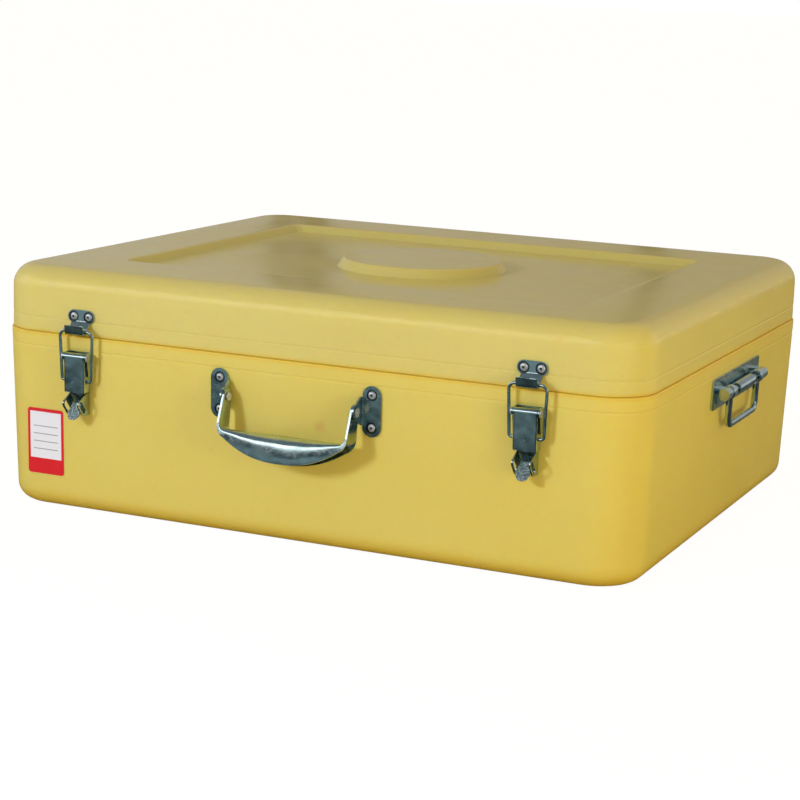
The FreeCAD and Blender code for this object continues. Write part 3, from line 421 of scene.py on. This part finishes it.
# Shader helpers
def node(tree, kind, inputs=(), **properties):
    """A shader node with its properties set, and its inputs set or linked by name or number."""
    made = tree.nodes.new(kind)
    for key, value in properties.items():
        setattr(made, key, value)
    for key, value in dict(inputs).items():
        if isinstance(value, bpy.types.NodeSocket):
            tree.links.new(value, made.inputs[key])
        else:
            made.inputs[key].default_value = value
    return made


def calc(tree, operation, *values, clamp=False):
    """The output of a Math node on values or sockets."""
    return node(tree, "ShaderNodeMath", dict(enumerate(values)), operation=operation, use_clamp=clamp).outputs[0]


def mixed(tree, factor, first, second, blend="MIX"):
    """The output of a colour mix."""
    made = node(tree, "ShaderNodeMix", data_type="RGBA", blend_type=blend)
    for key, value in zip((0, 6, 7), (factor, first, second)):
        if isinstance(value, bpy.types.NodeSocket):
            tree.links.new(value, made.inputs[key])
        else:
            made.inputs[key].default_value = value
    return made.outputs[2]


def noise(tree, vector, scale, detail=2.0, rough=0.5, distortion=0.0):
    """The value of a noise at a number of cells per metre."""
    return node(tree, "ShaderNodeTexNoise", {"Vector": vector, "Scale": scale, "Detail": detail, "Roughness": rough,
                                             "Distortion": distortion}).outputs[0]


def spread(tree, value, low, high, to_low=0.0, to_high=1.0):
    """A value carried smoothly from one range to another."""
    return node(tree, "ShaderNodeMapRange", {0: value, 1: low, 2: high, 3: to_low, 4: to_high},
                interpolation_type="SMOOTHSTEP").outputs[0]


def shader_group(name, sockets, results, build):
    """A node group with named inputs (name, kind, default) and outputs (name, kind), filled by a function."""
    made = bpy.data.node_groups.new(name, "ShaderNodeTree")
    for label, kind, default in sockets:
        socket = made.interface.new_socket(label, in_out="INPUT", socket_type=kind)
        if default is not None:
            socket.default_value = default
    for label, kind in results:
        made.interface.new_socket(label, in_out="OUTPUT", socket_type=kind)
    start, end = made.nodes.new("NodeGroupInput"), made.nodes.new("NodeGroupOutput")
    for label, socket in build(made, start.outputs).items():
        made.links.new(socket, end.inputs[label])
    return made


VECTOR, NUMBER, COLOUR = "NodeSocketVector", "NodeSocketFloat", "NodeSocketColor"


def fill_patches(tree, given):
    """Broad soft patches: a distorted noise, sharpened by the contrast, that mixes two colours."""
    value = noise(tree, given["Vector"], given["Scale"], 4.0, 0.55, 0.6)
    low = calc(tree, "SUBTRACT", 0.5, given["Softness"])
    high = calc(tree, "ADD", 0.5, given["Softness"])
    mask = calc(tree, "MULTIPLY", spread(tree, value, low, high), given["Amount"])
    return {"Colour": mixed(tree, mask, given["Colour"], given["Tint"]), "Mask": mask}


def fill_grain(tree, given):
    """Moulded skin: fine grain, an orange peel and slow waves, added up as a height."""
    fine = calc(tree, "MULTIPLY", noise(tree, given["Vector"], 900.0, 2.0), given["Fine"])
    peel = calc(tree, "MULTIPLY", noise(tree, given["Vector"], 130.0, 2.0), given["Peel"])
    waves = calc(tree, "MULTIPLY", noise(tree, given["Vector"], 11.0, 2.0), given["Waves"])
    return {"Height": calc(tree, "ADD", calc(tree, "ADD", fine, peel), waves)}


def fill_scuffs(tree, given):
    """Thin wandering marks: where a stretched noise crosses its middle value, broken up by a second noise."""
    value = noise(tree, given["Vector"], given["Scale"], 3.0, 0.6, 1.2)
    near = calc(tree, "ABSOLUTE", calc(tree, "SUBTRACT", value, 0.5))
    line = spread(tree, near, 0.0, given["Width"], 1.0, 0.0)
    where = spread(tree, noise(tree, given["Vector"], 23.0, 2.0), 0.52, 0.68)
    return {"Mask": calc(tree, "MULTIPLY", line, where)}


def fill_window(tree, given):
    """One where a value lies between two limits, with a soft edge."""
    low = spread(tree, given["Value"], calc(tree, "SUBTRACT", given["Low"], given["Edge"]), given["Low"])
    high = spread(tree, given["Value"], given["High"], calc(tree, "ADD", given["High"], given["Edge"]), 1.0, 0.0)
    return {"Mask": calc(tree, "MULTIPLY", low, high)}


GROUPS = {
    "patches": shader_group(
        "patches", [("Vector", VECTOR, None), ("Scale", NUMBER, 5.0), ("Softness", NUMBER, 0.15),
                    ("Amount", NUMBER, 1.0), ("Colour", COLOUR, None), ("Tint", COLOUR, None)],
        [("Colour", COLOUR), ("Mask", NUMBER)], fill_patches),
    "grain": shader_group(
        "moulded_grain", [("Vector", VECTOR, None), ("Fine", NUMBER, 0.1), ("Peel", NUMBER, 0.3),
                          ("Waves", NUMBER, 1.0)], [("Height", NUMBER)], fill_grain),
    "scuffs": shader_group(
        "scuffs", [("Vector", VECTOR, None), ("Scale", NUMBER, 60.0), ("Width", NUMBER, 0.01)],
        [("Mask", NUMBER)], fill_scuffs),
    "window": shader_group(
        "window", [("Value", NUMBER, 0.0), ("Low", NUMBER, 0.0), ("High", NUMBER, 1.0), ("Edge", NUMBER, 0.0002)],
        [("Mask", NUMBER)], fill_window),
}


def use(tree, name, **inputs):
    """The outputs of a shared group placed in a material."""
    return node(tree, "ShaderNodeGroup", inputs, node_tree=GROUPS[name]).outputs


def new_material(name, **sockets):
    """A material, its tree, its object coordinates and its Principled shader with uniform sockets set."""
    material = bpy.data.materials.new(name)
    material.use_nodes = True
    tree = material.node_tree
    tree.nodes.clear()
    shader = node(tree, "ShaderNodeBsdfPrincipled", sockets)
    node(tree, "ShaderNodeOutputMaterial", {"Surface": shader.outputs[0]})
    place = node(tree, "ShaderNodeTexCoord").outputs["Object"]
    return material, tree, place, shader


def feed(tree, shader, **links):
    """Link sockets of the Principled shader."""
    for label, socket in links.items():
        tree.links.new(socket, shader.inputs[label.replace("_", " ")])


def bumped(tree, height, distance, strength=1.0):
    """A normal bent by a height."""
    return node(tree, "ShaderNodeBump", {"Height": height, "Distance": distance, "Strength": strength}).outputs[0]


# Finishes
# The first two colours are painted shade: warm ochre darkening at the tub's foot and in the seam groove.
FOOT_SHADE_OCHRE, SEAM_SHADE_OCHRE = (0.60, 0.40, 0.02, 1), (0.76, 0.47, 0.03, 1)
SPECK_ORANGE, SCUFF_PALE = (0.66, 0.32, 0.07, 1), (0.80, 0.70, 0.36, 1)
GRIT_DARK, RIVET_RING_SHADE = (0.10, 0.13, 0.14, 1), (0.03, 0.035, 0.035, 1)
LABEL_WHITE, LABEL_RED, LABEL_GREY = (0.80, 0.79, 0.77, 1), (0.70, 0.012, 0.02, 1), (0.25, 0.25, 0.26, 1)
LABEL_WORN = (0.75, 0.70, 0.62, 1)
STAIN = (0.0265, -0.297, 0.1235)


def moulded_plastic(name, base, dull, pale):
    """Moulded polyethylene: faint patches, orange specks and one stain, painted shade as ochre darkening at the foot
    and along the seam, scuffs, a satin skin that is glossier on the lid's top."""
    material, tree, place, shader = new_material(
        name, IOR=1.5, **{"Specular IOR Level": 0.5, "Subsurface Weight": 0.4,
                          "Subsurface Radius": (1.0, 0.5, 0.06), "Subsurface Scale": 0.011})
    colour = use(tree, "patches", Vector=place, Scale=5.0, Softness=0.2, Amount=0.6, Colour=base, Tint=dull)["Colour"]
    colour = use(tree, "patches", Vector=place, Scale=30.0, Softness=0.3, Amount=0.2, Colour=colour,
                 Tint=pale)["Colour"]
    z = node(tree, "ShaderNodeSeparateXYZ", {0: place}).outputs[2]
    # Painted shade: warm ochre darkening towards the foot of the tub.
    foot = spread(tree, z, 0.0, 0.024, 0.9, 0.0)
    colour = mixed(tree, foot, colour, FOOT_SHADE_OCHRE)
    far = node(tree, "ShaderNodeVectorMath", {0: place, 1: STAIN}, operation="DISTANCE").outputs["Value"]
    blot = spread(tree, calc(tree, "ADD", far, calc(tree, "MULTIPLY", noise(tree, place, 180.0), 0.006)),
                  0.004, 0.012, 0.45, 0.0)
    speck = spread(tree, noise(tree, place, 75.0, 1.0), 0.76, 0.82, 0.0, 0.2)
    colour = mixed(tree, calc(tree, "MAXIMUM", blot, speck), colour, SPECK_ORANGE)
    # Painted shade: warm ochre darkening along the seam groove.
    gap = calc(tree, "ABSOLUTE", calc(tree, "SUBTRACT", z, SEAM * MM))
    colour = mixed(tree, spread(tree, gap, 0.0006, 0.0052, 0.6, 0.0), colour, SEAM_SHADE_OCHRE)
    top = spread(tree, z, 0.215, 0.248)
    side = calc(tree, "SUBTRACT", 1.0, top)
    scuff = use(tree, "scuffs", Vector=place, Scale=26.0, Width=0.006)["Mask"]
    colour = mixed(tree, calc(tree, "MULTIPLY", calc(tree, "MULTIPLY", scuff, 0.14), side), colour,
                   SCUFF_PALE)
    rough = calc(tree, "SUBTRACT", spread(tree, noise(tree, place, 12.0, 1.0), 0.3, 0.7, 0.38, 0.44),
                 calc(tree, "MULTIPLY", top, 0.21))
    height = use(tree, "grain", Vector=place, Fine=0.02, Peel=0.05, Waves=1.0)["Height"]
    slow = calc(tree, "MULTIPLY", noise(tree, place, 8.0, 0.0), 0.5)
    height = calc(tree, "ADD", calc(tree, "MULTIPLY", height, side), calc(tree, "MULTIPLY", slow, top))
    feed(tree, shader, Base_Color=colour, Roughness=rough, Normal=bumped(tree, height, 0.0009))
    return material


def zinc(name, dark, light, low, high, tab=-1.0, metal=1.0, spots=()):
    """Zinc plate: faint blue-grey clouds, shallow dents, fine scratches and an uneven gloss; speckled and dull under
    the tab's height; painted shade in a dark ring round each of the given rivets."""
    material, tree, place, shader = new_material(name, Metallic=metal)
    cloud = use(tree, "patches", Vector=place, Scale=55.0, Softness=0.25, Amount=1.0, Colour=dark, Tint=light)
    scratch = use(tree, "scuffs", Vector=place, Scale=160.0, Width=0.012)["Mask"]
    colour = mixed(tree, calc(tree, "MULTIPLY", scratch, 0.4), cloud["Colour"], light)
    rough = calc(tree, "ADD", spread(tree, noise(tree, place, 140.0, 3.0), 0.3, 0.7, low, high),
                 calc(tree, "MULTIPLY", scratch, 0.1))
    blasted = use(tree, "window", Value=node(tree, "ShaderNodeSeparateXYZ", {0: place}).outputs[2], Low=-2.0,
                  High=tab, Edge=0.002)["Mask"]
    rough = calc(tree, "ADD", rough, calc(tree, "MULTIPLY", blasted, 0.26))
    grit = calc(tree, "MULTIPLY", spread(tree, noise(tree, place, 620.0, 2.0), 0.42, 0.58), blasted)
    colour = mixed(tree, calc(tree, "MULTIPLY", grit, 0.75), colour, GRIT_DARK)
    # Painted shade: a dark ring round each rivet's dimple.
    for crown, outward in spots:
        far = node(tree, "ShaderNodeVectorMath", {0: place, 1: np.asarray(crown) * MM}, operation="DISTANCE")
        ring = use(tree, "window", Value=far.outputs["Value"], Low=0.004, High=0.0054, Edge=0.0007)["Mask"]
        colour = mixed(tree, calc(tree, "MULTIPLY", ring, 0.85), colour, RIVET_RING_SHADE)
    height = calc(tree, "ADD", noise(tree, place, 240.0, 3.0), calc(tree, "MULTIPLY", scratch, 0.2))
    height = calc(tree, "ADD", height, calc(tree, "MULTIPLY", noise(tree, place, 48.0, 1.0), 16.0))
    height = calc(tree, "ADD", height, calc(tree, "MULTIPLY", grit, 3.0))
    feed(tree, shader, Base_Color=colour, Roughness=rough, Normal=bumped(tree, height, 0.00006))
    return material


def seal_rubber():
    """Soft ochre rubber with a dusty bloom."""
    material, tree, place, shader = new_material("seal_rubber")
    colour = use(tree, "patches", Vector=place, Scale=60.0, Amount=0.6, Colour=(0.42, 0.27, 0.045, 1),
                 Tint=(0.48, 0.34, 0.08, 1))["Colour"]
    rough = spread(tree, noise(tree, place, 200.0), 0.3, 0.7, 0.6, 0.8)
    feed(tree, shader, Base_Color=colour, Roughness=rough,
         Normal=bumped(tree, noise(tree, place, 700.0), 0.0002))
    return material


# Label in metres: its middle, foot and top, the half widths of its field and lines, and the bands round the field
LABEL_MIDDLE, LABEL_LOW, LABEL_HIGH, LABEL_FIELD, LABEL_LINE = -0.2873, 0.035, 0.1039, 0.0185, 0.0145
LABEL_FOOT, LABEL_FRAME, RULED, RULE_WIDTH = 0.0165, 0.0035, (0.061, 0.069, 0.077, 0.085), 0.0006


def label_print():
    """A write-on label: white film, red frame and foot band, grey ruled lines; no words."""
    material, tree, place, shader = new_material("label_print")
    x, _, z = node(tree, "ShaderNodeSeparateXYZ", {0: place}).outputs
    across = calc(tree, "ABSOLUTE", calc(tree, "SUBTRACT", x, LABEL_MIDDLE))
    field = calc(tree, "MULTIPLY", use(tree, "window", Value=across, Low=-1.0, High=LABEL_FIELD)["Mask"],
                 use(tree, "window", Value=z, Low=LABEL_LOW + LABEL_FOOT, High=LABEL_HIGH - LABEL_FRAME)["Mask"])
    colour = mixed(tree, field, LABEL_RED, LABEL_WHITE)
    for height in RULED:
        line = calc(tree, "MULTIPLY", use(tree, "window", Value=z, Low=height, High=height + RULE_WIDTH)["Mask"],
                    use(tree, "window", Value=across, Low=-1.0, High=LABEL_LINE)["Mask"])
        colour = mixed(tree, line, colour, LABEL_GREY)
    worn = use(tree, "scuffs", Vector=place, Scale=60.0, Width=0.006)["Mask"]
    colour = mixed(tree, calc(tree, "MULTIPLY", worn, 0.35), colour, LABEL_WORN)
    rough = spread(tree, noise(tree, place, 90.0), 0.3, 0.7, 0.3, 0.42)
    feed(tree, shader, Base_Color=colour, Roughness=rough,
         Normal=bumped(tree, noise(tree, place, 120.0), 0.0003))
    return material


plastic = moulded_plastic("tub_yellow", (0.74, 0.59, 0.122, 1), (0.72, 0.555, 0.098, 1), (0.76, 0.63, 0.16, 1))
lid_plastic = moulded_plastic("lid_yellow", (0.70, 0.58, 0.162, 1), (0.68, 0.555, 0.138, 1), (0.73, 0.625, 0.205, 1))
dark_zinc = zinc("dark_zinc", (0.40, 0.52, 0.54, 1), (0.55, 0.66, 0.66, 1), 0.14, 0.26)
lever_zinc = zinc("lever_zinc", (0.40, 0.52, 0.54, 1), (0.55, 0.66, 0.66, 1), 0.14, 0.26, 0.1165)
plate_zinc = zinc("plate_zinc", (0.40, 0.52, 0.54, 1), (0.58, 0.69, 0.69, 1), 0.14, 0.28,
                  spots=CATCH_SPOTS + BRACKET_SPOTS)
bright_zinc = zinc("bright_zinc", (0.50, 0.60, 0.64, 1), (0.62, 0.70, 0.72, 1), 0.12, 0.2)
rivet_zinc = zinc("rivet_zinc", (0.58, 0.59, 0.59, 1), (0.70, 0.71, 0.70, 1), 0.2, 0.3, metal=0.6)
# Near-black finish for the mandrel stubs: painted shade in the rivet holes.
mandrel_shade_black = zinc("mandrel_shade_black", (0.03, 0.03, 0.03, 1), (0.06, 0.06, 0.06, 1), 0.45, 0.6, metal=0.5)
rubber, label = seal_rubber(), label_print()

FINISHES = (("lever", lever_zinc), ("rivets", rivet_zinc), ("pivot", rivet_zinc), ("catch", plate_zinc),
            ("bracket", plate_zinc), ("seal", rubber), ("label", label), ("shell", plastic), ("", dark_zinc))
for name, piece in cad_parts.items():
    finish = next(material for part, material in FINISHES if part in name)
    piece.data.materials.clear()
    piece.data.materials.append(finish)

make_base_shell(plastic)
make_lid_shell(lid_plastic)
make_bails(dark_zinc)
make_side_handles(dark_zinc)
make_springs(bright_zinc)
make_carry_handle(dark_zinc)
make_mandrels(mandrel_shade_black)


# Stage: floor, reflections, lamps, world and camera
FLOOR_HALF, FLOOR_Z = 30, -0.0005
TENT_RADIUS, TENT_HEIGHT, TENT_SIDES, MAT_Z, CAP_SHARE = 4, 4.0, 64, -0.0003, 0.02
CAMERA_TURN, CAMERA_RISE, CAMERA_ROLL = 23.89, 11.41, 1.96
CAMERA_AIM, CAMERA_DISTANCE = (-0.02149, 0, 0.09688), 2.35865
FOCAL_PIXELS, PICTURE_PIXELS, SENSOR = 2136.22, 800, 36.0


def seen_directly(tree):
    """One for rays that show the stage: from the camera, or by way of a mirror or glass."""
    ray = node(tree, "ShaderNodeLightPath").outputs
    return calc(tree, "MAXIMUM", ray["Is Camera Ray"],
                calc(tree, "MAXIMUM", ray["Is Glossy Ray"], ray["Is Transmission Ray"]))


def stage_mesh(name, points, faces):
    """A piece of the stage with an empty material; gives back the object and the material's tree."""
    mesh = bpy.data.meshes.new(name)
    mesh.from_pydata([tuple(p) for p in points], [], [tuple(f) for f in faces])
    made = bpy.data.objects.new(name, mesh)
    bpy.context.scene.collection.objects.link(made)
    material = bpy.data.materials.new(name)
    material.use_nodes = True
    material.node_tree.nodes.clear()
    mesh.materials.append(material)
    return made, material.node_tree


def make_floor():
    """A plain pale floor that shows white, with a faint shadow."""
    far, z = FLOOR_HALF, FLOOR_Z
    _, tree = stage_mesh("floor", [(-far, -far, z), (far, -far, z), (far, far, z), (-far, far, z)], [(0, 1, 2, 3)])
    paint = node(tree, "ShaderNodeBsdfDiffuse", {"Color": (0.92, 0.84, 0.64, 1)})
    glow = node(tree, "ShaderNodeEmission", {"Color": (1, 1, 1, 1), "Strength": 1.08})
    share = calc(tree, "MULTIPLY", seen_directly(tree), 0.88)
    mix = node(tree, "ShaderNodeMixShader", {0: share, 1: paint.outputs[0], 2: glow.outputs[0]})
    node(tree, "ShaderNodeOutputMaterial", {"Surface": mix.outputs[0]})


def make_tent():
    """What the gloss shows: a round wall and a mat, dim in front of the box and paler behind it, with windows."""
    sides = TENT_SIDES
    around = np.linspace(0, 2 * pi, sides + 1)[:-1]
    ring = np.stack([TENT_RADIUS * np.sin(around), -TENT_RADIUS * np.cos(around)], -1)
    levels = [(CAP_SHARE, MAT_Z), (1.0, MAT_Z), (1.0, TENT_HEIGHT), (CAP_SHARE, TENT_HEIGHT)]
    points = np.concatenate([np.column_stack([ring * size, np.full(sides, z)]) for size, z in levels])
    faces = [tuple(f[::-1]) for f in grid_faces(len(levels), sides)]
    ends = [tuple(range(sides)), tuple(range(4 * sides - 1, 3 * sides - 1, -1))]
    tent, tree = stage_mesh("reflection_tent", points, faces + ends)
    tent.visible_camera = tent.visible_diffuse = tent.visible_transmission = tent.visible_shadow = False
    place = node(tree, "ShaderNodeTexCoord").outputs["Object"]
    x, y, z = node(tree, "ShaderNodeSeparateXYZ", {0: place}).outputs
    turn = calc(tree, "MULTIPLY", calc(tree, "ARCTAN2", x, calc(tree, "MULTIPLY", y, -1.0)), 180 / pi)
    back = mixed(tree, spread(tree, turn, -172.0, -140.0), (0.36, 0.34, 0.29, 1), (0.46, 0.455, 0.45, 1))
    front = mixed(tree, spread(tree, z, 0.3, 1.8), (0.035, 0.048, 0.058, 1), (0.15, 0.18, 0.20, 1))
    wall = mixed(tree, spread(tree, y, -1.0, 2.5), front, back)
    near = mixed(tree, spread(tree, y, -1.25, -0.55), (0.24, 0.33, 0.35, 1), (0.022, 0.031, 0.033, 1))
    mat = mixed(tree, spread(tree, y, -0.3, 0.6), near, (0.15, 0.15, 0.12, 1))
    colour = mixed(tree, spread(tree, z, 0.0, 0.25), mat, wall)
    for left, right, side, low, high, soft, level in WINDOWS:
        pane = calc(tree, "MULTIPLY", use(tree, "window", Value=turn, Low=left, High=right, Edge=side)["Mask"],
                    use(tree, "window", Value=z, Low=low, High=high, Edge=soft)["Mask"])
        colour = mixed(tree, pane, colour, (level, level, level, 1))
    glow = node(tree, "ShaderNodeEmission", {"Color": colour, "Strength": 1.0})
    node(tree, "ShaderNodeOutputMaterial", {"Surface": glow.outputs[0]})


def make_world():
    """Soft light, dimmer overhead and warmer from the right; white where it is seen."""
    world = bpy.data.worlds.new("studio")
    bpy.context.scene.world = world
    world.use_nodes = True
    tree = world.node_tree
    tree.nodes.clear()
    direction = node(tree, "ShaderNodeTexCoord").outputs["Generated"]
    x, y, z = node(tree, "ShaderNodeSeparateXYZ", {0: direction}).outputs
    tone = mixed(tree, spread(tree, x, -0.6, 0.6), (1.0, 0.84, 0.46, 1), (1.0, 0.90, 0.62, 1))
    level = calc(tree, "MULTIPLY", spread(tree, z, 0.0, 0.9, SKY[0], SKY[1]), spread(tree, y, 0.0, 1.0, 1.0, 1.35))
    soft = node(tree, "ShaderNodeBackground", {"Color": tone, "Strength": level})
    white = node(tree, "ShaderNodeBackground", {"Color": (1, 1, 1, 1), "Strength": 1.0})
    mix = node(tree, "ShaderNodeMixShader", {0: seen_directly(tree), 1: soft.outputs[0], 2: white.outputs[0]})
    node(tree, "ShaderNodeOutputWorld", {"Surface": mix.outputs[0]})


def make_lamp(name, azimuth, elevation, distance, size, power, colour):
    """A round soft light aimed at the box from a direction; it leaves the mirror images to the tent."""
    a, e = radians(azimuth), radians(elevation)
    back = Vector((sin(a) * cos(e), -cos(a) * cos(e), sin(e)))
    light = bpy.data.lights.new(name, "AREA")
    light.shape, light.size, light.energy, light.color = "DISK", size, power, colour
    made = bpy.data.objects.new(name, light)
    turn = back.to_track_quat("Z", "Y").to_matrix().to_4x4()
    made.matrix_world = Matrix.Translation(back * distance + Vector((0, 0, 0.12))) @ turn
    made.visible_glossy = False
    bpy.context.scene.collection.objects.link(made)


def make_camera():
    """The photograph's view: turned right, looking down a little, with a slight roll."""
    a, e, r = radians(CAMERA_TURN), radians(CAMERA_RISE), radians(CAMERA_ROLL)
    back = Vector((sin(a) * cos(e), -cos(a) * cos(e), sin(e)))
    right = Vector((cos(a), sin(a), 0))
    up = back.cross(right)
    across, above = cos(r) * right + sin(r) * up, cos(r) * up - sin(r) * right
    eye = Vector(CAMERA_AIM) + back * CAMERA_DISTANCE
    camera = bpy.data.objects.new("camera", bpy.data.cameras.new("camera"))
    camera.matrix_world = Matrix.Translation(eye) @ Matrix((across, above, back)).transposed().to_4x4()
    camera.data.sensor_fit = "HORIZONTAL"
    camera.data.sensor_width = SENSOR
    camera.data.lens = FOCAL_PIXELS / PICTURE_PIXELS * SENSOR
    camera.data.shift_y = -0.005
    bpy.context.scene.collection.objects.link(camera)
    bpy.context.scene.camera = camera


# Windows and posts: left, right and edge in degrees from the front; low, high and edge in metres up; level
WINDOWS = [
    (-42.0, -4.0, 8.0, 1.35, 2.5, 0.5, 2.4),
    (-80.0, -62.0, 8.0, 0.8, 2.6, 0.4, 1.6),
    (52.0, 70.0, 8.0, 0.6, 2.4, 0.4, 1.2),
    (128.0, 146.0, 6.0, 0.4, 1.6, 0.3, 0.9),
    (-152.4, -151.5, 0.3, 0.1, 3.8, 0.1, 0.07),
    (-150.9, -150.2, 0.3, 0.1, 3.8, 0.1, 0.1),
    (-166.6, -165.9, 0.3, 0.1, 3.8, 0.1, 0.07),
]
SKY = 0.64, 0.42
bpy.context.scene.view_settings.view_transform = "Standard"
make_floor()
make_tent()
make_world()
make_lamp("key", -25, 19, 3.2, 0.5, 63, (0.53, 0.63, 1.0))
make_lamp("fill", 60, 3, 1.8, 0.7, 9, (1.0, 0.90, 0.62))
make_camera()
